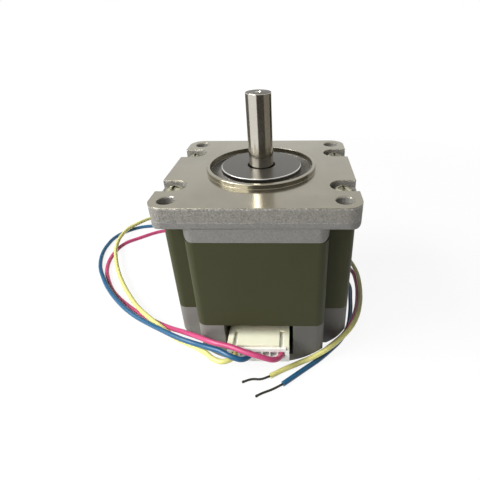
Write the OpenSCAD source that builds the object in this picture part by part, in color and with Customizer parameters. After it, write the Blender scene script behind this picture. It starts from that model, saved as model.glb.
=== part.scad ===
// Three phase hybrid stepping motor, 60 mm frame, with a plugged lead set.
// The rear face stands on z = 0 and the output shaft points up along +Z.

/* [Flange and pilot] */
// Width of the square mounting flange
flange_w = 60; // [58:0.5:64]
// Thickness of the flange
flange_t = 7; // [6.6:0.1:8]
// Radius of the flange's four corners
flange_corner_r = 4.9; // [3:0.1:6]
// Radius along the flange's lower edge
flange_edge_r = 1.2; // [0.6:0.1:1.6]
// Distance from a mounting hole's middle to the flange's edge
hole_edge = 5; // [4.5:0.1:5.5]
// Diameter of a mounting hole
hole_d = 5; // [4.5:0.1:5.5]
// Chamfer at the mouth of a mounting hole
hole_chamfer = 0.35; // [0.2:0.05:0.5]
// Diameter of the centring pilot
pilot_d = 36; // [35:0.1:37]
// Height of the pilot above the flange
pilot_h = 1.5; // [1.4:0.1:2]
// Width of the pilot's raised rim
pilot_rim_w = 1.1; // [0.8:0.1:1.6]
// Depth of the ring groove inside the pilot, from the flange face
groove_depth = 1.2; // [0.8:0.1:1.8]

/* [Body] */
// Length of the body from the rear face to the flange face
body_l = 60; // [58:0.5:66]
// How far the stator and the rear bell lie inside the flange's sides
side_inset = 0.3; // [0.2:0.05:0.8]
// Width of the notch at each corner of the body
corner_notch = 8.7; // [8:0.1:9.6]
// Height of the front bell's skirt between the flange and the stator
skirt_h = 4.2; // [3.6:0.1:5]
// Radius of the skirt's lower corners
skirt_corner_r = 2.2; // [1:0.1:3]
// Height of the rear bell
rear_bell_h = 16.8; // [16:0.1:18]
// Fillet on the upright edges of the body
edge_fillet = 3.2; // [2:0.1:4]
// Radius of the turned rounding of the rear bell's lower corners
bell_turn_r = 14.7; // [12:0.1:18]
// How far the turned rounding comes in at the rear bell's foot
bell_foot_inset = 5.4; // [4:0.1:6]
// Thickness of the rear bell's floor
bell_floor = 3; // [2.6:0.1:3.4]
// Width by which the bells' round chamber clears the winding slots
chamber_gap = 0.7; // [0.5:0.1:1.2]

/* [Assembly screws] */
// Distance from a screw's middle to the side of the body next to it
screw_side = 4.1; // [3.8:0.1:4.6]
// Distance from a screw's middle to the corner notch
screw_notch = 6.1; // [5.4:0.1:6.6]
// Thread diameter of a screw
screw_d = 3; // [2.5:0.1:3.2]
// Diameter of the pan head
screw_head_d = 5.6; // [5:0.1:6.2]
// Height of the pan head
screw_head_h = 2.2; // [1.8:0.1:2.3]
// Width of the open pocket round each head
pocket_w = 8; // [7:0.1:8.4]
// How far the heads lie below the flange face
head_inset = 0.3; // [0.2:0.05:0.6]

/* [Shaft] */
// Diameter of the shaft
shaft_d = 8; // [7.8:0.05:8]
// Length of shaft that stands out of the flange face
shaft_out = 24; // [18:0.5:30]
// Chamfer at the shaft's end
shaft_chamfer = 0.5; // [0.3:0.1:0.8]
// Diameter of the thicker middle of the shaft
shaft_core_d = 10; // [9.6:0.1:10.8]
// Diameter of the centre drilling in the shaft's end
centre_drill_d = 2; // [1:0.1:3]

/* [Rotor and stator teeth] */
// Width of the stator's yoke, from its flat side to the winding slots
yoke_w = 5.4; // [5:0.1:5.8]
// Depth of a winding slot, from the yoke to the pole shoe
slot_depth = 6.7; // [6.2:0.1:7.2]
// Gap between the rotor and the stator teeth
air_gap = 0.25; // [0.2:0.05:0.4]
// Number of rotor teeth
rotor_teeth = 50; // [50]
// Depth of a tooth
tooth_depth = 0.85; // [0.6:0.05:1]
// How far the rotor stops short of the stack at each end
rotor_inset = 2; // [1:0.1:3]
// Height of the magnet between the cups
magnet_h = 3; // [2:0.5:4]
// Width of a pole's neck
pole_w = 3.2; // [2.8:0.1:3.6]
// Radial thickness of a pole shoe, teeth included
shoe_t = 2.35; // [2:0.05:2.6]
// Thickness of the copper on each side of a pole
coil_t = 1.6; // [1.2:0.1:1.9]
// Height of a coil's end turns over the insulator
coil_head = 3.4; // [2.6:0.1:3.6]
// Thickness of the winding insulators
insulator_t = 1; // [0.8:0.1:1.2]

/* [Bearings] */
// Outer diameter of a ball bearing
bearing_d = 22; // [21:0.5:22.4]
// Width of a ball bearing
bearing_w = 7; // [6.6:0.1:7.2]
// Diameter of a ball as a share of the bearing's
ball_share = 0.18; // [0.165:0.005:0.18]
// Number of balls in a bearing
ball_count = 7; // [6:1:7]
// Wall of the front hub's boss round the bearing, as seen in the flange
hub_wall = 2.2; // [1.8:0.1:2.6]
// Wall of the hubs round the bearings, inside the bells
inner_hub_wall = 1.4; // [1.2:0.1:1.8]
// Height of the front hub over the flange face
hub_rise = 1.2; // [0.8:0.1:1.4]
// Thickness of the front hub's wall over the bearing
hub_web = 1.5; // [1.2:0.1:1.7]
// Gap between the shaft and the hole in the front hub
shaft_gap = 0.6; // [0.4:0.1:1]

/* [Connector] */
// Number of contacts in the connector
pin_count = 7; // [7]
// Distance between contacts
pin_pitch = 2.54; // [2.5:0.01:2.56]
// Distance from the outer contacts to the header's ends
header_end = 2.58; // [2.4:0.02:2.8]
// Height of the header housing
header_h = 7; // [6.6:0.1:7.4]
// Depth of the header housing, from its mouth to its back
header_depth = 9.2; // [9:0.1:9.6]
// How far the header's mouth stands out past the flange
header_proud = 3.7; // [3:0.1:4]
// Wall of the header housing
header_wall = 0.9; // [0.7:0.05:1]
// Sideways offset of the connector from the middle
connector_x = -0.75; // [-1:0.05:0]
// Thickness of the terminal board
board_t = 1.5; // [1.2:0.1:1.6]
// Thickness of the plug's wire side, past the header's mouth
plug_lip = 0.7; // [0.5:0.1:1]
// Wall between neighbouring wire holes of the plug
way_wall = 0.44; // [0.4:0.02:0.5]
// Side of a square contact pin
pin_w = 0.64; // [0.5:0.02:0.7]

/* [Leads] */
// Outer diameter of a lead's insulation
lead_d = 1.8; // [1.6:0.05:1.8]
// Diameter of a bared and twisted end
strand_d = 0.8; // [0.6:0.05:1]

/* [Hidden] */
$fn = 64;

// One overrun for every cut, and the clearances between pieces
overrun = 1;
press_gap = 0.02;
seat_gap = 0.3;
ball_gap = 0.1;
screw_gap = 0.2;
plug_gap = 0.12;

// Widths of the body, from the flange inwards
stator_w = flange_w - 2 * side_inset;
side_flat_w = stator_w - 2 * corner_notch;
hole_spacing = flange_w - 2 * hole_edge;
screw_spacing_x = stator_w - 2 * screw_side;
screw_spacing_y = side_flat_w - 2 * screw_notch;
slot_r = stator_w / 2 - yoke_w;
shoe_out_r = slot_r - slot_depth;
bore_r = shoe_out_r - shoe_t;
rotor_d = 2 * (bore_r - air_gap);
chamber_r = slot_r + chamber_gap;
header_w = (pin_count - 1) * pin_pitch + 2 * header_end;

// Levels of the body, from the rear face upwards
stack_z = rear_bell_h;
stack_h = body_l - flange_t - skirt_h - rear_bell_h;
stack_top = stack_z + stack_h;
flange_z = body_l - flange_t;
cup_h = (stack_h - magnet_h) / 2 - rotor_inset;
pocket_depth = screw_head_h + head_inset;
face_z = body_l;
shaft_top = face_z + shaft_out;
hub_top = face_z + hub_rise;
half_w = stator_w / 2;
half_flat = side_flat_w / 2;
hub_r = bearing_d / 2 + hub_wall;
inner_hub_r = bearing_d / 2 + inner_hub_wall;
front_bearing_z = hub_top - hub_web - bearing_w;
washer_room = 1.2;
washer_t = 0.3;
rear_bearing_z = bell_floor + washer_room;
washer_waves = 3;
washer_steps = 48;
shaft_hole_r = shaft_d / 2 + shaft_gap;
corner_reach = sqrt(half_w * half_w + half_flat * half_flat);
bell_foot_r = corner_reach - bell_foot_inset;
chamber_top = stack_top + insulator_t + coil_head + 2 * seat_gap;

// Colours by name, as seen on the object
cast_grey = [0.56, 0.55, 0.52];
olive = [0.25, 0.26, 0.19];
steel = [0.74, 0.73, 0.70];
copper = [0.72, 0.38, 0.18];
cream = [0.93, 0.92, 0.79];
white = [0.95, 0.95, 0.93];
board_green = [0.13, 0.35, 0.20];

// A rectangle with four rounded corners
module round_rect(w, d, r) {
    square([w - 2 * r, d], center = true);
    square([w, d - 2 * r], center = true);
    for (sx = [-1, 1], sy = [-1, 1]) translate([sx * (w / 2 - r), sy * (d / 2 - r)]) circle(r);
}

// The plan of the body: a square whose corners are notched
module plus_plan() {
    round_rect(stator_w, side_flat_w, edge_fillet);
    round_rect(side_flat_w, stator_w, edge_fillet);
}

// A side view that is round at its two lower corners, standing on y = 0
module rounded_foot(w, h, r) {
    translate([-w / 2, r]) square([w, h - r]);
    translate([-w / 2 + r, 0]) square([w - 2 * r, h]);
    for (s = [-1, 1]) translate([s * (w / 2 - r), r]) circle(r);
}

// A foot profile pushed along Y, and the same turned to run along X
module foot_along_y(w, h, r, reach) {
    rotate([90, 0, 0]) translate([0, 0, -reach]) linear_extrude(2 * reach) rounded_foot(w, h, r);
}
module foot_along_x(w, h, r, reach) {
    rotate([0, 0, 90]) foot_along_y(w, h, r, reach);
}

// Places the children at the four assembly screws
module at_screws() {
    for (sx = [-1, 1], sy = [-1, 1])
        translate([sx * screw_spacing_x / 2, sy * screw_spacing_y / 2, 0]) children();
}

// A ring between two radii
module ring(r_out, r_in, h) {
    difference() {
        cylinder(h = h, r = r_out);
        translate([0, 0, -overrun]) cylinder(h = h + 2 * overrun, r = r_in);
    }
}

// Front end bell: flange, pilot, bearing hub and a short skirt over the stator
module front_end_bell() {
    color(cast_grey) difference() {
        union() {
            flange_block();
            translate([0, 0, stack_top]) skirt();
            cylinder_at(face_z - overrun, pilot_h + overrun - pilot_lead, pilot_d / 2);
            translate([0, 0, face_z + pilot_h - pilot_lead])
                cylinder(h = pilot_lead, r1 = pilot_d / 2, r2 = pilot_d / 2 - pilot_lead);
        }
        front_bell_cuts();
    }
}
pilot_lead = 0.2;
// The skirt's two arms, each with round lower corners along its sides
skirt_reach = flange_z - stack_top + overrun;
module skirt() {
    intersection() {
        linear_extrude(skirt_reach) round_rect(side_flat_w, stator_w, edge_fillet);
        foot_along_y(side_flat_w, skirt_reach, skirt_corner_r, stator_w);
    }
    intersection() {
        linear_extrude(skirt_reach) round_rect(stator_w, side_flat_w, edge_fillet);
        foot_along_x(side_flat_w, skirt_reach, skirt_corner_r, stator_w);
    }
}
module cylinder_at(z, h, r) { translate([0, 0, z]) cylinder(h = h, r = r); }
module flange_block() {
    translate([0, 0, flange_z]) intersection() {
        linear_extrude(flange_t) round_rect(flange_w, flange_w, flange_corner_r);
        foot_along_y(flange_w, flange_t, flange_edge_r, flange_w);
        foot_along_x(flange_w, flange_t, flange_edge_r, flange_w);
    }
}
module front_bell_cuts() {
    // ring groove between the pilot's rim and the hub
    difference() {
        cylinder_at(face_z - groove_depth, groove_depth + pilot_h + overrun, pilot_d / 2 - pilot_rim_w);
        cylinder_at(face_z - groove_depth - overrun, overrun + groove_depth + hub_rise, hub_r);
    }
    // chamber for the coil heads, round the bearing hub
    difference() {
        cylinder_at(stack_top - overrun, chamber_top - stack_top + overrun, chamber_r);
        cylinder_at(front_bearing_z - seat_gap, face_z, inner_hub_r);
    }
    cylinder_at(stack_top - overrun, front_bearing_z + bearing_w - stack_top + overrun,
        bearing_d / 2 + press_gap);
    cylinder_at(stack_top, face_z, shaft_hole_r);
    // mounting holes
    for (sx = [-1, 1], sy = [-1, 1])
        translate([sx * hole_spacing / 2, sy * hole_spacing / 2, 0]) {
            cylinder_at(flange_z - overrun, flange_t + 2 * overrun, hole_d / 2);
            translate([0, 0, face_z - hole_chamfer])
                cylinder(h = 2 * hole_chamfer, r1 = hole_d / 2, r2 = hole_d / 2 + 2 * hole_chamfer);
        }
    // open pockets and clearance holes of the assembly screws
    at_screws() cylinder_at(stack_top - overrun, flange_t + body_l, screw_d / 2 + screw_gap);
    for (sx = [-1, 1], sy = [-1, 1])
        translate([sx * screw_spacing_x / 2, sy * screw_spacing_y / 2, face_z - pocket_depth]) {
            cylinder(h = pocket_depth + overrun, r = pocket_w / 2);
            translate([sx > 0 ? 0 : -flange_w / 4, -pocket_w / 2, 0])
                cube([flange_w / 4, pocket_w, pocket_depth + overrun]);
        }
}

// Rear end bell: a cast cup with a closed floor, a bearing hub and the connector's notch
notch_w = header_w + 2.6 * header_wall;
notch_x = connector_x - notch_w / 2;
sill_z = bell_floor + 2 * seat_gap;
module rear_end_bell() {
    color(cast_grey) difference() {
        union() {
            difference() {
                rear_bell_block();
                cylinder_at(bell_floor, rear_bell_h, chamber_r);
            }
            cylinder_at(bell_floor - overrun, rear_bearing_z + bearing_w - bell_floor + overrun, inner_hub_r);
            for (a = board_post_angles) rotate([0, 0, a])
                translate([board_post_r, 0, bell_floor - overrun])
                    cylinder(h = overrun + sill_z - bell_floor, r = board_post_w / 2);
        }
        cylinder_at(bell_floor, rear_bell_h, bearing_d / 2 + press_gap);
        at_screws() cylinder_at(rear_bell_h - screw_bite, screw_bite + overrun, screw_d / 2 + press_gap);
        translate([notch_x, -flange_w, sill_z]) cube([notch_w, flange_w - inner_hub_r - seat_gap, rear_bell_h]);
    }
}
screw_bite = 9;
board_post_r = (hub_r + chamber_r) / 2;
board_post_w = 4;
board_post_angles = [-20, -160];
module rear_bell_block() {
    turn_z = sqrt(pow(bell_turn_r, 2) - pow(bell_turn_r - corner_reach + bell_foot_r, 2));
    intersection() {
        linear_extrude(rear_bell_h) plus_plan();
        rotate_extrude() {
            translate([0, turn_z]) square([corner_reach + overrun, rear_bell_h - turn_z]);
            intersection() {
                square([corner_reach, turn_z]);
                union() {
                    translate([corner_reach - bell_turn_r, turn_z]) circle(bell_turn_r);
                    square([corner_reach - bell_turn_r, turn_z]);
                }
            }
        }
    }
}

// Stator: a stack of notched plates with twelve poles, four teeth on each
pole_count = 12;
pole_step = 360 / pole_count;
tooth_step = 360 / rotor_teeth;
teeth_per_pole = 4;
tooth_gap_share = 0.58;
tooth_gap_w = 2 * bore_r * sin(tooth_step * tooth_gap_share / 2);
slot_mouth_w = 2 * bore_r * sin((pole_step - (teeth_per_pole - tooth_gap_share) * tooth_step) / 2);
module stator_core() {
    color(olive) translate([0, 0, stack_z]) difference() {
        linear_extrude(stack_h) stator_plan();
        at_screws() cylinder_at(-overrun, stack_h + 2 * overrun, screw_d / 2 + screw_gap);
    }
}
module stator_plan() {
    difference() {
        plus_plan();
        circle(bore_r);
        difference() {
            circle(slot_r);
            circle(shoe_out_r);
            for (i = [0 : pole_count - 1]) rotate(i * pole_step)
                translate([0, -pole_w / 2]) square([half_w, pole_w]);
        }
        for (i = [0 : pole_count - 1]) rotate((i + 0.5) * pole_step)
            translate([bore_r / 2, -slot_mouth_w / 2]) square([bore_r / 2 + 1.5 * shoe_t, slot_mouth_w]);
        for (i = [0 : pole_count - 1], j = [1 : teeth_per_pole - 1])
            rotate(i * pole_step + (j - teeth_per_pole / 2) * tooth_step)
                translate([bore_r / 2, -tooth_gap_w / 2]) square([bore_r / 2 + tooth_depth, tooth_gap_w]);
    }
}

// Insulators: a rim on the yoke with an arm along each pole
insulator_rim = 1.6;
module insulator(z) {
    color(white) translate([0, 0, z]) linear_extrude(insulator_t) difference() {
        union() {
            difference() {
                circle(slot_r + insulator_rim / 4);
                circle(slot_r - insulator_rim / 2);
            }
            difference() {
                union() {
                    circle(shoe_out_r);
                    for (i = [0 : pole_count - 1]) rotate(i * pole_step)
                        translate([0, -pole_w / 2]) square([slot_r, pole_w]);
                }
                circle(shoe_out_r - insulator_rim / 2);
            }
        }
        circle(bore_r + tooth_depth);
    }
}
module front_insulator() { insulator(stack_top); }
module rear_insulator() { insulator(stack_z - insulator_t); }

// Coils: a band of copper wound round each pole
coil_in_r = shoe_out_r + seat_gap;
coil_out_r = slot_r - insulator_rim / 2 - seat_gap;
coil_corner = 0.8;
module coil() {
    inner_h = stack_h + 2 * insulator_t + 2 * press_gap;
    inner_w = pole_w + seat_gap;
    translate([coil_in_r, 0, stack_z + stack_h / 2]) rotate([90, 0, 90])
        linear_extrude(coil_out_r - coil_in_r) difference() {
            round_rect(inner_w + 2 * coil_t, inner_h + 2 * coil_head, coil_t);
            square([inner_w, inner_h], center = true);
        }
}
module phase_coils(first) {
    color(copper) for (i = [first : 3 : pole_count - 1]) rotate([0, 0, i * pole_step])
        intersection() {
            coil();
            coil_wedge();
        }
}
// Keeps a coil inside its own slot halves
module coil_wedge() {
    reach = 2 * slot_r;
    half = pole_step / 2;
    slack = seat_gap / 2;
    translate([slack / sin(half), 0, 0])
        linear_extrude(face_z) polygon([[0, 0], [reach, reach * tan(half)], [reach, -reach * tan(half)]]);
}
module phase_u_coils() { phase_coils(0); }
module phase_v_coils() { phase_coils(1); }
module phase_w_coils() { phase_coils(2); }

// Four long pan head screws with a cross recess
screw_seat = face_z - pocket_depth;
recess_share = 0.55;
module assembly_screws() {
    color(steel) at_screws() difference() {
        union() {
            cylinder_at(rear_bell_h - screw_bite + seat_gap, screw_seat - rear_bell_h + screw_bite, screw_d / 2);
            pan_head();
        }
        cross_recess();
    }
}
module pan_head() {
    edge = screw_head_h * recess_share;
    rise = screw_head_h - edge;
    dome_r = (pow(screw_head_d / 2, 2) + pow(rise, 2)) / (2 * rise);
    translate([0, 0, screw_seat]) intersection() {
        cylinder(h = screw_head_h, r = screw_head_d / 2);
        translate([0, 0, screw_head_h - dome_r]) sphere(dome_r, $fn = 96);
    }
}
module cross_recess() {
    arm = screw_head_d * recess_share;
    blade = screw_head_d / 8;
    deep = screw_head_h * recess_share;
    translate([0, 0, screw_seat + screw_head_h - deep]) for (a = [0, 90]) rotate([0, 0, a])
        translate([-arm / 2, -blade / 2, 0]) cube([arm, blade, screw_head_h]);
}

// Ball bearings: races with a ball track, balls, crown cage and two shields
race_share = 0.24;
ball_d = ball_share * bearing_d;
pitch_r = (bearing_d / 2 + shaft_d / 2) / 2;
land_out_r = pitch_r + ball_d / 2 - race_share * ball_d;
land_in_r = pitch_r - ball_d / 2 + race_share * ball_d;
track_r = ball_d / 2 + ball_gap;
shield_t = 0.35;
shield_inset = 0.25;
cage_w = 1.1;
module outer_race(z) {
    color(steel) translate([0, 0, z]) rotate_extrude() difference() {
        translate([land_out_r, 0]) square([bearing_d / 2 - land_out_r, bearing_w]);
        translate([pitch_r, bearing_w / 2]) circle(track_r);
    }
}
module inner_race(z) {
    color(steel) translate([0, 0, z]) rotate_extrude() difference() {
        translate([shaft_d / 2 + press_gap, 0]) square([land_in_r - shaft_d / 2 - press_gap, bearing_w]);
        translate([pitch_r, bearing_w / 2]) circle(track_r);
    }
}
module balls(z) {
    color(steel) for (i = [0 : ball_count - 1]) rotate([0, 0, i * 360 / ball_count])
        translate([pitch_r, 0, z + bearing_w / 2]) sphere(ball_d / 2);
}
module cage(z) {
    top = bearing_w - shield_inset - shield_t - ball_gap;
    low = bearing_w / 2 - ball_d / 4;
    color([0.75, 0.6, 0.3]) translate([0, 0, z]) difference() {
        cylinder_at(low, top - low, pitch_r + cage_w / 2);
        cylinder_at(low - overrun, top - low + 2 * overrun, pitch_r - cage_w / 2);
        for (i = [0 : ball_count - 1]) rotate([0, 0, i * 360 / ball_count])
            translate([pitch_r, 0, bearing_w / 2]) sphere(ball_d / 2 + ball_gap);
    }
}
module shields(z) {
    color(steel) for (low = [shield_inset, bearing_w - shield_inset - shield_t])
        translate([0, 0, z + low]) ring(land_out_r - press_gap, land_in_r + ball_gap, shield_t);
}
module front_bearing_outer_race() { outer_race(front_bearing_z); }
module front_bearing_inner_race() { inner_race(front_bearing_z); }
module front_bearing_balls() { balls(front_bearing_z); }
module front_bearing_cage() { cage(front_bearing_z); }
module front_bearing_shields() { shields(front_bearing_z); }
module rear_bearing_outer_race() { outer_race(rear_bearing_z); }
module rear_bearing_inner_race() { inner_race(rear_bearing_z); }
module rear_bearing_balls() { balls(rear_bearing_z); }
module rear_bearing_cage() { cage(rear_bearing_z); }
module rear_bearing_shields() { shields(rear_bearing_z); }

// Wave washer that presses the rear bearing forwards
function washer_point(r, a, top) = [r * cos(a), r * sin(a),
    bell_floor + washer_room / 2 + (washer_room - washer_t - 2 * press_gap) / 2 * sin(a * washer_waves)
        + (top ? washer_t / 2 : -washer_t / 2)];
module wave_washer() {
    r_out = bearing_d / 2 - seat_gap;
    r_in = land_out_r;
    n = washer_steps;
    pts = [for (i = [0 : n - 1]) let (a = i * 360 / n)
        each [washer_point(r_in, a, false), washer_point(r_out, a, false),
            washer_point(r_out, a, true), washer_point(r_in, a, true)]];
    color(steel) polyhedron(pts, [for (i = [0 : n - 1], k = [0 : 3], half = [0, 1])
        let (a = 4 * i + k, b = 4 * i + (k + 1) % 4, c = 4 * ((i + 1) % n) + (k + 1) % 4, d = 4 * ((i + 1) % n) + k)
        half == 0 ? [a, b, c] : [a, c, d]]);
}

// Shaft: output end, bearing seats and a thicker core that carries the rotor
relief_w = 0.6;
relief_depth = 0.25;
shaft_foot = rear_bearing_z - washer_room + seat_gap;
core_low = rear_bearing_z + bearing_w;
core_high = front_bearing_z;
output_z = front_bearing_z + bearing_w + relief_w;
module shaft() {
    r = shaft_d / 2;
    color(steel) difference() {
        union() {
            cylinder_at(shaft_foot, core_low - shaft_foot, r);
            cylinder_at(core_low, core_high - core_low, shaft_core_d / 2);
            cylinder_at(core_high, bearing_w, r);
            cylinder_at(output_z - relief_w, relief_w, r - relief_depth);
            cylinder_at(output_z, shaft_top - shaft_chamfer - output_z, r);
            translate([0, 0, shaft_top - shaft_chamfer])
                cylinder(h = shaft_chamfer, r1 = r, r2 = r - shaft_chamfer);
        }
        translate([0, 0, shaft_top - centre_drill_d]) cylinder(h = centre_drill_d, r1 = 0, r2 = centre_drill_d / 2);
        translate([0, 0, shaft_top]) cylinder(h = overrun, r = centre_drill_d / 2);
    }
}

// Rotor: two toothed cups, half a tooth apart, with a flat magnet between them
rotor_mid = stack_z + stack_h / 2;
module rotor_cup(z, turn) {
    gap_w = rotor_d * sin(tooth_step * tooth_gap_share / 2);
    color(steel * 0.7) translate([0, 0, z]) rotate([0, 0, turn]) linear_extrude(cup_h) difference() {
        circle(rotor_d / 2);
        circle(shaft_core_d / 2 + press_gap);
        for (i = [0 : rotor_teeth - 1]) rotate((i + 0.5) * tooth_step)
            translate([rotor_d / 2 - tooth_depth, -gap_w / 2]) square([2 * tooth_depth, gap_w]);
    }
}
module front_rotor_cup() { rotor_cup(rotor_mid + magnet_h / 2, 0); }
module rear_rotor_cup() { rotor_cup(rotor_mid - magnet_h / 2 - cup_h, tooth_step / 2); }
module rotor_magnet() {
    color([0.3, 0.3, 0.32]) translate([0, 0, rotor_mid - magnet_h / 2])
        ring(rotor_d / 2 - 2 * tooth_depth, shaft_core_d / 2 + press_gap, magnet_h);
}

// Connector levels and places
board_z = sill_z;
header_z = board_z + board_t;
mouth_y = -flange_w / 2 - header_proud;
header_back = mouth_y + header_depth;
header_x = connector_x - header_w / 2;
first_pin = connector_x - (pin_count - 1) / 2 * pin_pitch;
pin_z = header_z + header_h / 2;
function pin_x(i) = first_pin + i * pin_pitch;

// Terminal board: a crescent round the rear hub with a tongue under the header
module terminal_board() {
    tongue = flange_w / 2 - 2 * header_wall;
    color(board_green) translate([0, 0, board_z]) linear_extrude(board_t) difference() {
        union() {
            intersection() {
                circle(chamber_r - 2 * seat_gap);
                translate([-chamber_r, -chamber_r]) square([2 * chamber_r, chamber_r - 2 * header_wall]);
            }
            translate([header_x, -tongue]) square([header_w, tongue - hub_r]);
        }
        circle(hub_r + seat_gap);
        for (i = [0 : pin_count - 1]) translate([pin_x(i), pin_tail_y]) circle(pin_w * 0.75);
    }
}
pin_tail_y = header_back + 1.6 * pin_w;

// Wires from the coil heads down to the board
coil_lead_d = 0.7;
coil_lead_angles = [-45, -90, -135];
module coil_leads() {
    top = stack_z - insulator_t - coil_head - press_gap;
    low = header_z;
    for (a = coil_lead_angles) color(copper) rotate([0, 0, floor(a / pole_step + 0.5) * pole_step])
        translate([(coil_in_r + coil_out_r) / 2, 0, low]) cylinder(h = top - low, r = coil_lead_d / 2);
}

// Header housing: a side entry shell with two key slots in its top
slot_w = 1.3;
slot_inset = 1.9;
slot_share = 0.72;
cavity_back = header_back - 1.5 * header_wall;
module header_housing() {
    color(cream) difference() {
        translate([header_x, mouth_y, header_z]) cube([header_w, header_depth, header_h]);
        translate([header_x + header_wall, mouth_y - overrun, header_z + header_wall])
            cube([header_w - 2 * header_wall, cavity_back - mouth_y + overrun, header_h - 2 * header_wall]);
        for (x = [header_x + slot_inset, header_x + header_w - slot_inset - slot_w])
            translate([x, mouth_y - overrun, header_z + header_h - 1.5 * header_wall])
                cube([slot_w, overrun + header_depth * slot_share, 2 * header_wall]);
        for (i = [0 : pin_count - 1]) translate([pin_x(i) - pin_w / 2 - press_gap, cavity_back - overrun,
            pin_z - pin_w / 2 - press_gap])
            cube([pin_w + 2 * press_gap, header_depth, pin_w + 2 * press_gap]);
    }
}

// Header pins: straight into the shell, bent down behind it into the board
pin_reach_share = 0.74;
module header_pins() {
    reach = (cavity_back - mouth_y) * pin_reach_share;
    color(steel) for (i = [0 : pin_count - 1]) translate([pin_x(i) - pin_w / 2, 0, 0]) {
        translate([0, cavity_back - reach, pin_z - pin_w / 2])
            cube([pin_w, pin_tail_y + pin_w / 2 - cavity_back + reach, pin_w]);
        translate([0, pin_tail_y - pin_w / 2, board_z])
            cube([pin_w, pin_w, pin_z + pin_w / 2 - board_z]);
    }
}

// Plug housing: a body that fills the shell and a lip with the wire holes outside it
wire_hole = pin_pitch - way_wall;
plug_y = mouth_y - plug_lip;
lip_top_share = 0.72;
module plug_housing() {
    inner_w = header_w - 2 * header_wall - 2 * plug_gap;
    inner_h = header_h - 2 * header_wall - 2 * plug_gap;
    body_back = cavity_back - seat_gap;
    color(white) difference() {
        union() {
            translate([connector_x - inner_w / 2, plug_y, header_z + header_wall + plug_gap])
                cube([inner_w, body_back - mouth_y + plug_lip, inner_h]);
            translate([header_x, plug_y, header_z + plug_gap])
                cube([header_w, plug_lip - press_gap, header_h * lip_top_share]);
        }
        for (i = [0 : pin_count - 1]) translate([pin_x(i), 0, 0]) {
            translate([-wire_hole / 2, plug_y - overrun, pin_z - wire_hole / 2])
                cube([wire_hole, body_back - plug_y + 2 * overrun, wire_hole]);
        }
    }
}

// Crimp contacts in the three holes that are used
used_ways = [0, 2, 6];
crimp_y = mouth_y + header_wall;
module plug_terminals() {
    side = wire_hole - 2 * plug_gap;
    color(steel) for (i = used_ways) translate([pin_x(i), 0, pin_z]) difference() {
        translate([-side / 2, crimp_y, -side / 2])
            cube([side, cavity_back - 2 * seat_gap - crimp_y, side]);
        translate([-pin_w / 2 - plug_gap, crimp_y + header_wall, -pin_w / 2 - plug_gap])
            cube([pin_w + 2 * plug_gap, header_depth, pin_w + 2 * plug_gap]);
    }
}

// Lead routes, from the crimp to the bared end
pink_route = [[6.87, -32.8, 8.6], [6.87, -34.2, 8.6], [6.4, -35.8, 8.9], [4.7, -37.7, 9.9], [0.4, -38.2, 11.8],
    [-4.4, -37.2, 12.7], [-10.3, -34.9, 12.9], [-15.1, -33.4, 12.7], [-20.9, -29.7, 11.2],
    [-28.6, -23.7, 7.6], [-34.2, -19.5, 4.9], [-40.6, -14.7, 2.5], [-46.9, -10.5, 1.5],
    [-51.6, -7.6, 1.2], [-57.3, -3.4, 1], [-69.3, 8, 0.9], [-73.6, 14.4, 0.9],
    [-77.2, 21.2, 0.9], [-80, 34.7, 0.9], [-79.5, 41.2, 0.9], [-77.4, 46.4, 0.9],
    [-72.9, 50.5, 0.9], [-61.3, 58.6, 0.9], [-48, 57.8, 1], [-25, 52, 1.4], [-15.5, 49.9, 2.2],
    [-6, 48, 2.8], [4, 45.8, 2.8], [14, 42.4, 2.2], [23, 38, 1.3], [30.4, 32.4, 1],
    [35.6, 26.6, 0.9], [38.2, 20.9, 0.9], [38.7, 14.6, 0.9], [37.5, 2.1, 1.2], [35.5, -6.4, 2.2],
    [32.6, -13.9, 2.8], [29.1, -19.9, 2.9], [25.3, -24, 2.9], [22, -27.2, 2.9]];
blue_route = [[-3.29, -32.8, 8.6], [-3.29, -34.2, 8.6], [-3.9, -35.8, 8.8], [-5.8, -37.5, 9.6],
    [-9.5, -37.2, 10.8], [-13.3, -35, 10.7], [-18, -32.7, 9.8], [-23.1, -29.8, 8.4],
    [-28, -27.3, 7.6], [-38.1, -20.8, 5.8], [-44.5, -16, 4], [-50.8, -11.6, 3.1],
    [-56.8, -7, 2.9], [-63.4, -0.8, 2.8], [-69.9, 6.5, 2.7], [-75.9, 14.8, 2.3],
    [-81.7, 24.5, 1.4], [-86.6, 43, 0.9], [-85.6, 52.1, 0.9], [-81.5, 58.5, 0.9],
    [-76.1, 62.5, 0.9], [-69.2, 64.2, 0.9], [-58, 64.8, 0.9], [-45, 63.4, 0.9], [-31, 59.2, 0.9],
    [-18, 53.7, 0.9], [-6, 48, 0.9], [16, 36.8, 0.9], [25, 30.4, 0.9], [31, 23, 0.9],
    [34.1, 16, 0.9], [35.3, 11.1, 0.9], [34.7, 3, 0.9], [33.8, -4.4, 0.9], [31.4, -14.4, 0.9],
    [27.9, -20.8, 0.9], [23.9, -25.4, 0.9], [19.4, -29.9, 0.9], [14.7, -33.8, 0.9],
    [7.4, -39.9, 0.9]];
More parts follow.
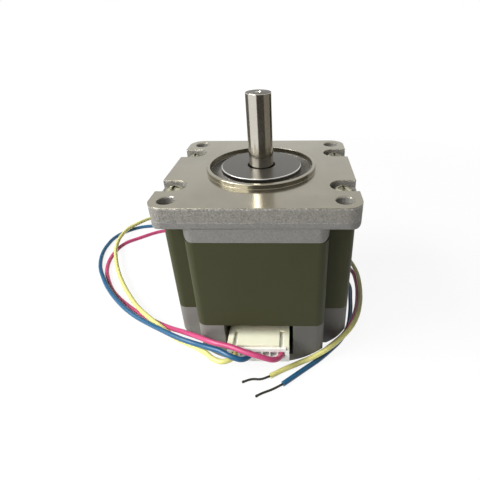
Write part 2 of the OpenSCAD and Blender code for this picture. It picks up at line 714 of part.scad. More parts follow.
yellow_route = [[-8.37, -32.8, 8.6], [-8.37, -34.2, 8.6], [-8.8, -35.8, 8.6], [-10.1, -37.1, 8.7],
    [-12.1, -37.7, 8.7], [-15.1, -36.5, 8.4], [-18.4, -33.3, 7.6], [-23.1, -29.5, 6.3],
    [-32.2, -23.8, 5], [-35.7, -20.8, 4.7], [-42.9, -14.6, 3.9], [-49.6, -8.5, 3.2],
    [-53.3, -4.7, 2.9], [-57.3, 0, 2.9], [-70.7, 19.4, 2.9], [-75.7, 29.2, 2.9],
    [-79.3, 38.1, 2.9], [-81.2, 47.8, 2.9], [-80.5, 57.3, 2.9], [-76.6, 65, 2.7],
    [-72.2, 72.1, 1.8], [-62, 77.6, 1.2], [-51, 79.6, 1], [-38, 78.6, 0.9], [-22, 74, 0.9],
    [-6, 66.6, 0.95], [9.5, 57.4, 1], [21.5, 47.6, 1.2], [30.5, 38.4, 2.4], [36.2, 30.8, 2.9],
    [39, 21.4, 2.9], [39.1, 5.8, 3], [37.8, -2.3, 3.4], [31.6, -18.6, 4.9], [27.6, -23.5, 4.9],
    [23.1, -27.7, 4.6], [17.9, -30.4, 3.2], [12.4, -32.1, 1.6], [7.6, -34.2, 1.05],
    [3, -36.9, 0.9]];
pink_end_route = [[22, -27.2, 2.9], [20.4, -28.3, 2.4], [19, -28.9, 1.8]];
blue_end_route = [[7.4, -39.9, 0.9], [4.1, -41.7, 0.6], [0.2, -43.5, 0.5], [-1.2, -44.4, 0.5]];
yellow_end_route = [[3, -36.9, 0.9], [0, -37.9, 0.6], [-3, -37.9, 0.5], [-6.1, -39.1, 0.5]];

// A smooth curve through a route's points, its tangents weighed by the spacing
lead_sides = 8;
lead_ring_step = 3 * lead_d;
strand_ring_step = 2 * strand_d;
step_slack_share = 0.3;
function unit(v) = v / norm(v);
function last(list) = len(list) - 1;
function tangent(p, i) =
    i == 0 ? unit(p[1] - p[0]) :
    i == last(p) ? unit(p[i] - p[i - 1]) :
    let (a = norm(p[i] - p[i - 1]), b = norm(p[i + 1] - p[i]))
    ((p[i] - p[i - 1]) / a * b + (p[i + 1] - p[i]) / b * a) / (a + b);
function curve_point(p, i, t) =
    let (d = norm(p[i + 1] - p[i]), t2 = t * t, t3 = t2 * t)
    p[i] * (2 * t3 - 3 * t2 + 1) + tangent(p, i) * d * (t3 - 2 * t2 + t)
        + p[i + 1] * (3 * t2 - 2 * t3) + tangent(p, i + 1) * d * (t3 - t2);
function curve(p, step) = concat([for (i = [0 : last(p) - 1])
    let (n = max(1, ceil(norm(p[i + 1] - p[i]) / step - step_slack_share)))
    for (k = [0 : n - 1]) curve_point(p, i, k / n)], [p[last(p)]]);
function path_dir(c, i) = unit(c[min(i + 1, last(c))] - c[max(i - 1, 0)]);
function tube_ring(c, i, r) =
    let (t = path_dir(c, i), u = unit(cross(t, [0, 0, 1])), v = cross(u, t))
    [for (k = [0 : lead_sides - 1]) let (a = (k + 0.5) * 360 / lead_sides)
        c[i] + r * (cos(a) * u + sin(a) * v)];
module tube(route, d, step) {
    c = curve(route, step);
    n = lead_sides;
    rings = len(c);
    pts = [for (i = [0 : rings - 1]) each tube_ring(c, i, d / 2)];
    ends = [[for (k = [0 : n - 1]) k], [for (k = [n - 1 : -1 : 0]) (rings - 1) * n + k]];
    sides = [for (i = [0 : rings - 2], k = [0 : n - 1], half = [0, 1])
        let (a = i * n + k, b = i * n + (k + 1) % n, c2 = b + n, d2 = a + n)
        half == 0 ? [a, d2, c2] : [a, c2, b]];
    polyhedron(pts, concat(ends, sides));
}
module pink_lead() { color([0.80, 0.28, 0.48]) tube(pink_route, lead_d, lead_ring_step); }
module blue_lead() { color([0.20, 0.42, 0.62]) tube(blue_route, lead_d, lead_ring_step); }
module yellow_lead() { color([0.90, 0.88, 0.55]) tube(yellow_route, lead_d, lead_ring_step); }
module pink_strands() { color(steel * 0.5) tube(pink_end_route, strand_d, strand_ring_step); }
module blue_strands() { color(steel * 0.5) tube(blue_end_route, strand_d, strand_ring_step); }
module yellow_strands() { color(steel * 0.5) tube(yellow_end_route, strand_d, strand_ring_step); }

front_end_bell();
rear_end_bell();
stator_core();
front_insulator();
rear_insulator();
phase_u_coils();
phase_v_coils();
phase_w_coils();
assembly_screws();
front_bearing_outer_race();
front_bearing_inner_race();
front_bearing_balls();
front_bearing_cage();
front_bearing_shields();
rear_bearing_outer_race();
rear_bearing_inner_race();
rear_bearing_balls();
rear_bearing_cage();
rear_bearing_shields();
wave_washer();
shaft();
front_rotor_cup();
rotor_magnet();
rear_rotor_cup();
terminal_board();
coil_leads();
header_housing();
header_pins();
plug_housing();
plug_terminals();
pink_lead();
blue_lead();
yellow_lead();
pink_strands();
blue_strands();
yellow_strands();
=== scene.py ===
import math

import bmesh
import bpy
from bpy.props import FloatProperty, FloatVectorProperty, IntProperty, PointerProperty
from mathutils import Matrix, Vector


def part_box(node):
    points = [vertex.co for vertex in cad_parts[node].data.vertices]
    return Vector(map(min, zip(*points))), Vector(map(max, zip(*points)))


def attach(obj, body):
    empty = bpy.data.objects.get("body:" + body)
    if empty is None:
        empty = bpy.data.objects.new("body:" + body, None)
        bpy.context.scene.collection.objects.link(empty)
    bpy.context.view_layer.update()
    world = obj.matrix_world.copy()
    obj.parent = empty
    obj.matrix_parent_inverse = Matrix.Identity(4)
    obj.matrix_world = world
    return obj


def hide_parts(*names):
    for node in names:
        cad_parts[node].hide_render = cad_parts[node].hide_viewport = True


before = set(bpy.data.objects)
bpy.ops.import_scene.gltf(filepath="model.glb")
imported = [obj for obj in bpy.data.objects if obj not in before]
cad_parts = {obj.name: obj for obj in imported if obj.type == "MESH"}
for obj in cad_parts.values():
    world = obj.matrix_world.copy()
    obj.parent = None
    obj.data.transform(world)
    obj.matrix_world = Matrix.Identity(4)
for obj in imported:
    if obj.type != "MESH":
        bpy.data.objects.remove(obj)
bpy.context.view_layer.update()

bl_info = {
    "name": "Stepping Motor",
    "version": (1, 0, 0),
    "blender": (4, 5, 0),
    "location": "View3D > Sidebar > Motor",
    "description": "Finishes a square stepping motor with its leads and sets up the studio",
    "category": "Object",
}

MM = 0.001

# Levels above the rear face, radii round the axis, and two spans: where the painted highlight on the
# hub's edge fades out towards the back and where the rear bell's painted shade sets in on the right
FACE_Z = 60 * MM
TURNED_Z = FACE_Z - 0.38 * MM
# Band below the face's edge that holds the burr and its painted highlight
BURR_HIGHLIGHT_LOW_Z = FACE_Z - 0.85 * MM
BURR_HIGHLIGHT_TOP_Z = FACE_Z - 0.45 * MM
MOULD_LINE_LOW_Z = 56.1 * MM
MOULD_LINE_TOP_Z = 56.4 * MM
ROUGH_SIDE_Z = 55.7 * MM
BOWL_R = 16.75 * MM
BOWL_Z = 58.2 * MM
WALL_R = 17.7 * MM
WALL_Z = FACE_Z + 0.075 * MM
HUB_EDGE_IN_R = 12.85 * MM
HUB_EDGE_OUT_R = 13.4 * MM
HUB_EDGE_Z = 60.9 * MM
# Span in y over which the painted highlight on the hub's edge fades out towards the back
HUB_HIGHLIGHT_Y = (-7 * MM, 4 * MM)
# Span in x over which the rear bell's painted shade sets in on the right
PAINTED_SHADE_X = (1 * MM, 17 * MM)

# Levels and radii of the shaft
SHAFT_FOOT_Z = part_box("shaft")[0].z
REAR_SEAT_Z = 11.2 * MM
FRONT_SEAT_Z = 52.7 * MM
RELIEF_Z = 59.7 * MM
OUTPUT_Z = 60.3 * MM
SHAFT_TOP_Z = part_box("shaft")[1].z
SHAFT_R = 4 * MM
CORE_R = 5 * MM
RELIEF_R = 3.75 * MM
DRILL_R = 1 * MM
SHAFT_STEPS = 96
END_PARTS = 4

# Widths of the rounded edges, and what counts as a sharp edge, a flat one and one point
FRONT_BELL_EDGE = 0.3 * MM
REAR_BELL_EDGE = 0.35 * MM
SCREW_EDGE = 0.07 * MM
HEADER_EDGE = 0.14 * MM
PLUG_EDGE = 0.08 * MM
BEVEL_ANGLE = math.radians(35)
SHARP_ANGLE = math.radians(38)
FLAT_ANGLE = math.radians(0.6)
ONE_POINT = 0.002 * MM

# How finely leads and strands are drawn, and how the strands of a bared end lie
LEAD_STEP = 0.9 * MM
STRAND_STEP = 0.22 * MM
WIRE_SHARE = 0.42
MIDDLE_DRAW = 0.03
BLOB_LENGTH = 0.9 * MM
BLOB_SWELL = 1.8

# The photograph's camera, with its angles in degrees
CAMERA_AROUND = 1.86
CAMERA_ABOVE = 31.76
CAMERA_ROLL = -0.84
CAMERA_PLACE = (0.01082, -0.11893, 0.10517)
CAMERA_SENSOR = 36
CAMERA_LENS = 28.0455
CAMERA_SHIFT = -0.0905

# Places and widths of the two soft lights, in metres
KEY_PLACE = (-0.52, -0.16, 0.5)
KEY_WIDTH = 0.34
FILL_PLACE = (-0.42, -0.5, 0.5)
FILL_WIDTH = 0.4
LIGHT_AIM = (0, 0, 0.04)

# The floor: its reach, where the shadow ends, how white it is and how much of that the camera sees
FLOOR_REACH = 6
SHADOW_NEAR_R = 0.16
SHADOW_FAR_R = 0.42
PAPER_WHITE = 1.04
PAPER_SEEN = 0.88

# Cards that only the polished metal mirrors: name, first and last angle in degrees, top, brightness
FLAG_R = 200 * MM
FLAG_LOW_Z = 4 * MM
LOW_FLAG_Z = 78 * MM
TALL_FLAG_Z = 150 * MM
FLAG_STEPS = 24
FLAGS = (
    ("front_flag", -14, 50, TALL_FLAG_Z, 0.06),
    ("right_flag", 50, 112, TALL_FLAG_Z, 0.22),
    ("edge_flag", 112, 150, LOW_FLAG_Z, 0.03),
    ("left_flag", -180, -94, LOW_FLAG_Z, 0.14),
)

# The leads' routes from the crimp to the cut, and on to the tips of the bared ends, in millimetres
PINK_ROUTE = [
    (6.87, -32.8, 8.6), (6.87, -34.2, 8.6), (6.4, -35.8, 8.9), (4.7, -37.7, 9.9),
    (0.4, -38.2, 11.8), (-4.4, -37.2, 12.7), (-10.3, -34.9, 12.9), (-15.1, -33.4, 12.7),
    (-20.9, -29.7, 11.2), (-28.6, -23.7, 7.6), (-34.2, -19.5, 4.9), (-40.6, -14.7, 2.5),
    (-46.9, -10.5, 1.5), (-51.6, -7.6, 1.2), (-57.3, -3.4, 1), (-69.3, 8, 0.9), (-73.6, 14.4, 0.9),
    (-77.2, 21.2, 0.9), (-80, 34.7, 0.9), (-79.5, 41.2, 0.9), (-77.4, 46.4, 0.9),
    (-72.9, 50.5, 0.9), (-61.3, 58.6, 0.9), (-48, 57.8, 1), (-25, 52, 1.4), (-15.5, 49.9, 2.2),
    (-6, 48, 2.8), (4, 45.8, 2.8), (14, 42.4, 2.2), (23, 38, 1.3), (30.4, 32.4, 1),
    (35.6, 26.6, 0.9), (38.2, 20.9, 0.9), (38.7, 14.6, 0.9), (37.5, 2.1, 1.2), (35.5, -6.4, 2.2),
    (32.6, -13.9, 2.8), (29.1, -19.9, 2.9), (25.3, -24, 2.9), (22, -27.2, 2.9),
]
BLUE_ROUTE = [
    (-3.29, -32.8, 8.6), (-3.29, -34.2, 8.6), (-3.9, -35.8, 8.8), (-5.8, -37.5, 9.6),
    (-9.5, -37.2, 10.8), (-13.3, -35, 10.7), (-18, -32.7, 9.8), (-23.1, -29.8, 8.4),
    (-28, -27.3, 7.6), (-38.1, -20.8, 5.8), (-44.5, -16, 4), (-50.8, -11.6, 3.1), (-56.8, -7, 2.9),
    (-63.4, -0.8, 2.8), (-69.9, 6.5, 2.7), (-75.9, 14.8, 2.3), (-81.7, 24.5, 1.4), (-86.6, 43, 0.9),
    (-85.6, 52.1, 0.9), (-81.5, 58.5, 0.9), (-76.1, 62.5, 0.9), (-69.2, 64.2, 0.9),
    (-58, 64.8, 0.9), (-45, 63.4, 0.9), (-31, 59.2, 0.9), (-18, 53.7, 0.9), (-6, 48, 0.9),
    (16, 36.8, 0.9), (25, 30.4, 0.9), (31, 23, 0.9), (34.1, 16, 0.9), (35.3, 11.1, 0.9),
    (34.7, 3, 0.9), (33.8, -4.4, 0.9), (31.4, -14.4, 0.9), (27.9, -20.8, 0.9), (23.9, -25.4, 0.9),
    (19.4, -29.9, 0.9), (14.7, -33.8, 0.9), (7.4, -39.9, 0.9),
]
YELLOW_ROUTE = [
    (-8.37, -32.8, 8.6), (-8.37, -34.2, 8.6), (-8.8, -35.8, 8.6), (-10.1, -37.1, 8.7),
    (-12.1, -37.7, 8.7), (-15.1, -36.5, 8.4), (-18.4, -33.3, 7.6), (-23.1, -29.5, 6.3),
    (-32.2, -23.8, 5), (-35.7, -20.8, 4.7), (-42.9, -14.6, 3.9), (-49.6, -8.5, 3.2),
    (-53.3, -4.7, 2.9), (-57.3, 0, 2.9), (-70.7, 19.4, 2.9), (-75.7, 29.2, 2.9), (-79.3, 38.1, 2.9),
    (-81.2, 47.8, 2.9), (-80.5, 57.3, 2.9), (-76.6, 65, 2.7), (-72.2, 72.1, 1.8), (-62, 77.6, 1.2),
    (-51, 79.6, 1), (-38, 78.6, 0.9), (-22, 74, 0.9), (-6, 66.6, 0.95), (9.5, 57.4, 1),
    (21.5, 47.6, 1.2), (30.5, 38.4, 2.4), (36.2, 30.8, 2.9), (39, 21.4, 2.9), (39.1, 5.8, 3),
    (37.8, -2.3, 3.4), (31.6, -18.6, 4.9), (27.6, -23.5, 4.9), (23.1, -27.7, 4.6),
    (17.9, -30.4, 3.2), (12.4, -32.1, 1.6), (7.6, -34.2, 1.05), (3, -36.9, 0.9),
]
PINK_END = [(22, -27.2, 2.9), (20.4, -28.3, 2.4), (19, -28.9, 1.8)]
BLUE_END = [(7.4, -39.9, 0.9), (4.1, -41.7, 0.6), (0.2, -43.5, 0.5), (-1.2, -44.4, 0.5)]
YELLOW_END = [(3, -36.9, 0.9), (0, -37.9, 0.6), (-3, -37.9, 0.5), (-6.1, -39.1, 0.5)]


# Sizes and colours that a user would change
def tone(red, green, blue):
    """The linear colour of three display values from 0 to 255."""
    return tuple((value / 255) ** 2.2 for value in (red, green, blue))


def scaled(shade, *factors):
    """A colour times one factor, or times one each for red, green and blue, at most 1."""
    if len(factors) == 1:
        factors = factors * 3
    return tuple(min(1, value * factor) for value, factor in zip(shade, factors))


def colour(name, description, default):
    """A colour that a user can change."""
    return FloatVectorProperty(name=name, description=description, default=default, subtype="COLOR",
                               size=3, min=0, max=1)


def size(name, description, default, low, high):
    """A length that a user can change."""
    return FloatProperty(name=name, description=description, default=default, min=low, max=high,
                         subtype="DISTANCE", unit="LENGTH", precision=5)


class MotorSizes(bpy.types.PropertyGroup):
    """Sizes of the leads, the bared ends, the shaft and the rounded edges."""

    lead_width: size("Lead width", "Outer diameter of a lead's insulation", 1.8 * MM, 1.6 * MM, 1.8 * MM)
    strand_width: size("Bared end width", "Outer diameter of a bared end", 0.8 * MM, 0.6 * MM, 0.8 * MM)
    strand_lay: size("Strand lay", "Length in which the strands go once round", 3.4 * MM, 2 * MM, 6 * MM)
    edge_round: size("Edge rounding", "Radius of the bells' worn edges", 0.22 * MM, 0.1 * MM, 0.4 * MM)
    shaft_edge: size("Shaft end rounding", "Radius at the end of the shaft", 0.3 * MM, 0.2 * MM, 0.6 * MM)
    grain: size("Cast grain", "Size of the grain of the cast flange", 0.62 * MM, 0.3 * MM, 1.2 * MM)
    wires: IntProperty(name="Strands", description="Strands in a bared end", default=7, min=5, max=12)


class MotorColours(bpy.types.PropertyGroup):
    """Colours of the motor's finishes."""

    flange: colour("Machined flange", "Turned face of the front bell", tone(152, 147, 132))
    casting: colour("Casting", "Cast aluminium of both bells", tone(146, 143, 136))
    paint: colour("Stator paint", "Satin paint over the stack of plates", tone(66, 67, 46))
    steel: colour("Steel", "Ground steel of the shaft and bearings", tone(206, 201, 190))
    zinc: colour("Zinc", "Plating of the screws", tone(176, 173, 150))
    header: colour("Header", "Ivory moulding of the header", tone(253, 251, 222))
    plug: colour("Plug", "White moulding of the plug", tone(247, 247, 240))
    pink: colour("Pink lead", "Vinyl of the first lead", tone(200, 72, 120))
    blue: colour("Blue lead", "Vinyl of the second lead", tone(27, 92, 131))
    yellow: colour("Yellow lead", "Vinyl of the third lead", tone(238, 232, 142))
    copper: colour("Copper", "Enamelled winding wire", tone(196, 108, 58))
    board: colour("Board", "Solder mask of the terminal board", tone(38, 104, 62))


class StageSettings(bpy.types.PropertyGroup):
    """Light levels of the studio."""

    key: FloatProperty(name="Key light", description="Power of the soft light at the upper left",
                       default=5.6, min=0, max=20, unit="POWER")
    fill: FloatProperty(name="Fill light", description="Power of the soft light at the front left",
                        default=2.7, min=0, max=20, unit="POWER")
    room: FloatProperty(name="Room light", description="Strength of the light from all round",
                        default=0.1, min=0, max=2)


# Shader maths on sockets
class Sock:
    """A node's output on which Python's operators add Math nodes."""

    def __init__(self, shader, socket):
        self.shader = shader
        self.socket = socket

    def _with(self, operation, first, second):
        return self.shader.put("ShaderNodeMath", {"operation": operation}, {0: first, 1: second})

    def __add__(self, other):
        return self._with("ADD", self, other)

    def __radd__(self, other):
        return self._with("ADD", other, self)

    def __sub__(self, other):
        return self._with("SUBTRACT", self, other)

    def __rsub__(self, other):
        return self._with("SUBTRACT", other, self)

    def __mul__(self, other):
        return self._with("MULTIPLY", self, other)

    def __rmul__(self, other):
        return self._with("MULTIPLY", other, self)

    def __pow__(self, other):
        return self._with("POWER", self, other)

    def __rpow__(self, other):
        return self._with("POWER", other, self)


class Shader:
    """A node tree whose nodes are made one by one through put."""

    def __init__(self, tree):
        self.tree = tree
        self.tree.nodes.clear()

    def put(self, kind, settings=None, inputs=None, out=0):
        """Adds a node, sets it, joins or fills its sockets and gives one of its outputs."""
        node = self.tree.nodes.new(kind)
        for key, value in (settings or {}).items():
            setattr(node, key, value)
        for key, value in (inputs or {}).items():
            place = node.inputs[key]
            if isinstance(value, Sock):
                self.tree.links.new(value.socket, place)
            elif place.type == "RGBA":
                place.default_value = (*value[:3], 1)
            else:
                place.default_value = value
        return Sock(self, node.outputs[out]) if node.outputs else None

    def rays(self):
        """1 on rays from the camera, from what mirrors and through what is clear, one by one."""
        return [self.put("ShaderNodeLightPath", out=ray)
                for ray in ("Is Camera Ray", "Is Glossy Ray", "Is Transmission Ray")]


class Finish(Shader):
    """A new material that reads Object coordinates."""

    def __init__(self, name):
        self.material = bpy.data.materials.new(name)
        self.material.use_nodes = True
        super().__init__(self.material.node_tree)
        self.spot = self.put("ShaderNodeTexCoord", out="Object")
        apart = self.put("ShaderNodeSeparateXYZ", None, {0: self.spot}).socket.node
        self.x = Sock(self, apart.outputs[0])
        self.y = Sock(self, apart.outputs[1])
        self.z = Sock(self, apart.outputs[2])

    def noise(self, grain, detail=4, roughness=0.55, at=None):
        """Cloudy noise from 0 to 1 whose patches are about as wide as grain."""
        return self.put("ShaderNodeTexNoise", None, {
            "Vector": at or self.spot, "Scale": 1 / grain, "Detail": detail, "Roughness": roughness})

    def stretched(self, grain, along):
        """Noise that is drawn out by the three factors in along."""
        place = self.put("ShaderNodeMapping", None, {"Vector": self.spot, "Scale": along})
        return self.noise(grain, at=place)

    def cells(self, grain):
        """Distance from the middle of scattered cells about as wide as grain."""
        return self.put("ShaderNodeTexVoronoi", None, {
            "Vector": self.spot, "Scale": 1 / grain}, "Distance")

    def rings(self, step):
        """Uneven rings round the shaft's axis, as a lathe leaves them."""
        return self.put("ShaderNodeTexNoise", {"noise_dimensions": "1D"}, {
            "W": self.radius(), "Scale": 1 / step, "Detail": 3, "Roughness": 0.6})

    def radius(self):
        """Distance from the shaft's axis."""
        return (self.x * self.x + self.y * self.y) ** 0.5

    def wave(self, value, step):
        """A smooth wave from 0 to 1 that repeats after each step of value."""
        turn = value * (2 * math.pi / step)
        return self.put("ShaderNodeMath", {"operation": "SINE"}, {0: turn}) * 0.5 + 0.5

    def rise(self, value, low, high):
        """0 below low and 1 above high, with a smooth change between."""
        return self.put("ShaderNodeMapRange", {"interpolation_type": "SMOOTHSTEP"}, {
            "Value": value, "From Min": low, "From Max": high})

    def past(self, value, place, soft):
        """0 before a place and 1 past it, with a smooth change over soft on both sides."""
        return self.rise(value, place - soft, place + soft)

    def inside(self, value, low, high, soft):
        """1 between low and high."""
        return self.past(value, low, soft) * (1 - self.past(value, high, soft))

    def blend(self, factor, first, second):
        """Goes from the first colour to the second one."""
        return self.put("ShaderNodeMix", {"data_type": "RGBA"}, {0: factor, 6: first, 7: second}, 2)

    def shaded(self, shade, low, high, mask):
        """A colour made darker by low and lighter by high as the mask goes from 0 to 1."""
        return self.blend(mask, scaled(shade, low), scaled(shade, high))

    def facing_up(self):
        """1 where the surface looks straight up."""
        turned = self.put("ShaderNodeNewGeometry", out="Normal")
        return self.put("ShaderNodeSeparateXYZ", None, {0: turned}, 2)

    def bump(self, height, depth, strength, edge=0):
        """A relief of the given depth, over edges that are rounded by edge."""
        inputs = {"Height": height, "Distance": depth, "Strength": strength}
        if edge:
            inputs["Normal"] = self.put("ShaderNodeBevel", {"samples": 6}, {"Radius": edge})
        return self.put("ShaderNodeBump", None, inputs)

    def surface(self, **parts):
        """Ends the material in one Principled shader and gives the material."""
        inputs = {key.replace("_", " "): value for key, value in parts.items()}
        shader = self.put("ShaderNodeBsdfPrincipled", None, inputs)
        self.put("ShaderNodeOutputMaterial", None, {"Surface": shader})
        return self.material


# Finishes of the castings and the stack
def front_bell_finish(sizes, colours):
    """Cast sides with coarse grain, a turned face with fine rings and a burr between the two, with
    painted highlights on the burr and on the front of the hub's edge and painted shade inside the pilot.
    """
    f = Finish("cast_and_turned_aluminium")
    grain = f.noise(sizes.grain, 5, 0.62)
    pits = f.cells(0.9 * MM)
    patches = f.noise(9 * MM, 3)
    wander = f.noise(0.8 * MM, 3)
    drift = f.noise(5 * MM, 4, 0.7)
    speck = f.rise(f.noise(0.42 * MM, 3, 0.7), 0.3, 0.7)
    sheen = f.rise(f.noise(15 * MM, 2), 0.25, 0.75)
    marks = f.rings(0.5 * MM)
    streak = f.stretched(0.7 * MM, (1, 0.08, 1))
    up = f.facing_up()
    far = f.radius()

    face_edge = f.z - wander * (0.35 * MM)
    turned = f.past(face_edge, TURNED_Z, 0.04 * MM)
    # A burr under the turned face's edge, smoother than the casting and painted pale in specks as a
    # painted highlight
    burr_and_highlight = f.inside(face_edge, BURR_HIGHLIGHT_LOW_Z, BURR_HIGHLIGHT_TOP_Z, 0.12 * MM) * (1 - f.rise(up, 0.3, 0.9))
    rough_side = f.past(f.z, ROUGH_SIDE_Z, 0.5 * MM)
    parting = f.z + wander * (0.5 * MM) + drift * (1.1 * MM)
    mould_line = f.inside(parting, MOULD_LINE_LOW_Z, MOULD_LINE_TOP_Z, 0.15 * MM)
    mould_line = mould_line * f.rise(drift, 0.35, 0.55)
    # Painted shade inside the pilot: the recess and the hub are painted much darker, and their roughness
    # is raised
    dull_shaded_bowl = (1 - f.past(far, BOWL_R, 0.05 * MM)) * f.past(f.z, BOWL_Z, 0.2 * MM)
    wall = f.past(f.z, WALL_Z, 0.025 * MM) * (1 - f.rise(up, 0.3, 0.6)) * f.past(far, WALL_R, 0.1 * MM)
    # Painted highlight: a pale thin ring on the hub's edge, on its front side only, fading out towards
    # the back
    hub_edge_highlight = f.inside(far, HUB_EDGE_IN_R, HUB_EDGE_OUT_R, 0.08 * MM)
    hub_edge_highlight = hub_edge_highlight * f.past(f.z, HUB_EDGE_Z, 0.05 * MM) * (1 - f.rise(f.y, *HUB_HIGHLIGHT_Y)) * 0.75

    cast = f.shaded(colours.casting, 0.32, 1.42, grain * 0.35 + pits * 0.15 + speck * 0.5)
    cast = f.blend(patches * 0.25, cast, scaled(colours.casting, 0.85))
    cast = f.blend((1 - rough_side) * 0.55, cast, scaled(colours.casting, 0.72, 0.75, 0.82))
    cast = f.blend(mould_line * speck * 0.6, cast, scaled(colours.casting, 1.9))
    face = f.shaded(colours.flange, 0.86, 1.13, marks * 0.25 + streak * 0.25 + sheen * 0.5)
    # Painted shade inside the pilot
    face = f.blend(dull_shaded_bowl * 0.9, face, scaled(colours.casting, 0.26))
    shade = f.blend(turned, cast, face)
    # Painted highlight on the front of the hub's edge
    shade = f.blend(hub_edge_highlight, shade, (0.95, 0.95, 0.93))
    # Painted highlight on the burr below the face's edge
    shade = f.blend(burr_and_highlight * f.rise(grain, 0.46, 0.7) * 0.7, shade, (0.8, 0.79, 0.74))

    rough = 0.62 + grain * 0.12 - rough_side * 0.04
    smooth = 0.13 + marks * 0.05 + streak * 0.05 - wall * 0.06 + dull_shaded_bowl * 0.14
    rough = rough * (1 - turned) + smooth * turned - burr_and_highlight * 0.25
    height = (grain * 0.8 + pits * 0.5 + mould_line * 0.8) * (1 - turned) * (0.55 + rough_side * 0.45)
    height = height + (marks * 0.05 + streak * 0.03) * turned
    return f.surface(Base_Color=shade, Metallic=0.3 + turned * 0.65, Roughness=rough,
                     Normal=f.bump(height, 0.16 * MM, 0.8, sizes.edge_round))


def rear_bell_finish(sizes, colours):
    """Smoother cast aluminium, tumbled, with soft patches and painted shade over its right side."""
    f = Finish("tumbled_cast_aluminium")
    grain = f.noise(0.5 * MM, 5, 0.6)
    patches = f.noise(7 * MM, 3)
    flow = f.stretched(3 * MM, (1, 1, 0.35))
    shade = f.shaded(colours.casting, 0.6, 1.0, grain * 0.5 + patches * 0.3 + flow * 0.2)
    shade = f.blend(0.4, shade, scaled(colours.casting, 0.78, 0.84, 0.88))
    # Painted shade: the right side of the rear bell is painted darker, from a ragged start
    painted_shade_side = f.rise(f.x + patches * (6 * MM), *PAINTED_SHADE_X)
    shade = f.blend(painted_shade_side * 0.72, shade, scaled(colours.casting, 0.25))
    return f.surface(Base_Color=shade, Metallic=0.25, Roughness=0.5 + grain * 0.16,
                     Normal=f.bump(grain + patches * 0.6, 0.08 * MM, 0.7, sizes.edge_round))


def stator_finish(colours):
    """Satin paint that lets the plates' edges show through as faint lines."""
    f = Finish("painted_plates")
    plates = f.wave(f.z, 0.5 * MM)
    peel = f.noise(1.6 * MM, 2)
    film = f.noise(14 * MM, 3)
    run = f.stretched(5 * MM, (1, 1, 0.12))
    shade = f.shaded(colours.paint, 0.82, 1.18, film * 0.5 + run * 0.3 + plates * 0.2)
    return f.surface(Base_Color=shade, Roughness=0.42 + film * 0.12 + plates * 0.04,
                     Specular_IOR_Level=0.14,
                     Normal=f.bump(plates * 0.25 + peel, 0.03 * MM, 0.5, 0.15 * MM))


# Finishes of the bright metals
def shaft_finish(colours):
    """Ground steel whose fine marks run round the shaft and draw its highlights out, with a dull end face
    painted dark as painted shade.
    """
    f = Finish("ground_steel")
    marks = f.stretched(0.5 * MM, (0.15, 0.15, 1))
    cloud = f.noise(6 * MM, 3)
    shade = f.shaded(colours.steel, 0.86, 1.06, marks * 0.6 + cloud * 0.4)
    # The end face: dulled, less metallic and painted dark as painted shade
    end = f.rise(f.facing_up(), 0.5, 0.8)
    dull_and_shaded_end = f.shaded(scaled(colours.steel, 0.2), 0.8, 1.2, f.rings(0.3 * MM))
    shade = f.blend(end, shade, dull_and_shaded_end)
    return f.surface(Base_Color=shade, Metallic=1 - end * 0.85, Roughness=0.12 + marks * 0.06 + end * 0.5,
                     Anisotropic=0.5, Anisotropic_Rotation=0.25,
                     Normal=f.bump(marks, 0.008 * MM, 0.3))


def zinc_finish(colours):
    """Bright plating with a few scuffs."""
    f = Finish("bright_zinc")
    scuffs = f.noise(0.35 * MM, 4)
    cloud = f.noise(1.5 * MM, 2)
    spots = f.rise(cloud, 0.42, 0.6)
    shade = f.shaded(colours.zinc, 0.3, 1.25, scuffs * 0.3 + spots * 0.7)
    return f.surface(Base_Color=shade, Metallic=1.0, Roughness=0.16 + scuffs * 0.16,
                     Normal=f.bump(scuffs + cloud * 0.6, 0.06 * MM, 0.7, 0.15 * MM))


def bearing_finish(colours):
    """Polished race steel."""
    f = Finish("polished_steel")
    marks = f.rings(0.3 * MM)
    shade = f.shaded(colours.steel, 0.9, 1.05, marks)
    return f.surface(Base_Color=shade, Metallic=1.0, Roughness=0.1 + marks * 0.1,
                     Normal=f.bump(marks, 0.006 * MM, 0.4))


def cage_finish():
    """Pressed brass."""
    f = Finish("pressed_brass")
    cloud = f.noise(1.2 * MM, 3)
    shade = f.shaded(tone(196, 164, 92), 0.75, 1.1, cloud)
    return f.surface(Base_Color=shade, Metallic=1.0, Roughness=0.3 + cloud * 0.15,
                     Normal=f.bump(cloud, 0.02 * MM, 0.4))


def copper_finish(colours):
    """Enamelled wire laid side by side, each turn one step further from the axis."""
    f = Finish("enamelled_copper")
    turns = f.wave(f.radius(), 0.55 * MM)
    cloud = f.noise(2 * MM, 3)
    shade = f.shaded(colours.copper, 0.55, 1.15, turns * 0.7 + cloud * 0.3)
    return f.surface(Base_Color=shade, Metallic=0.85, Roughness=0.25 + cloud * 0.1, Coat_Weight=0.4,
                     Normal=f.bump(turns ** 0.5, 0.22 * MM, 0.8))


def rotor_finish():
    """Stacked plates of bare electrical steel."""
    f = Finish("stacked_steel_plates")
    plates = f.wave(f.z, 0.5 * MM)
    cloud = f.noise(3 * MM, 3)
    shade = f.shaded(tone(150, 147, 142), 0.6, 1.1, plates * 0.6 + cloud * 0.4)
    return f.surface(Base_Color=shade, Metallic=0.9, Roughness=0.35 + plates * 0.1,
                     Normal=f.bump(plates, 0.05 * MM, 0.6))


def magnet_finish():
    """Dark sintered magnet."""
    f = Finish("sintered_magnet")
    grain = f.noise(0.4 * MM, 5)
    shade = f.shaded(tone(86, 86, 90), 0.7, 1.2, grain)
    return f.surface(Base_Color=shade, Metallic=0.6, Roughness=0.5 + grain * 0.15,
                     Normal=f.bump(grain, 0.03 * MM, 0.6))


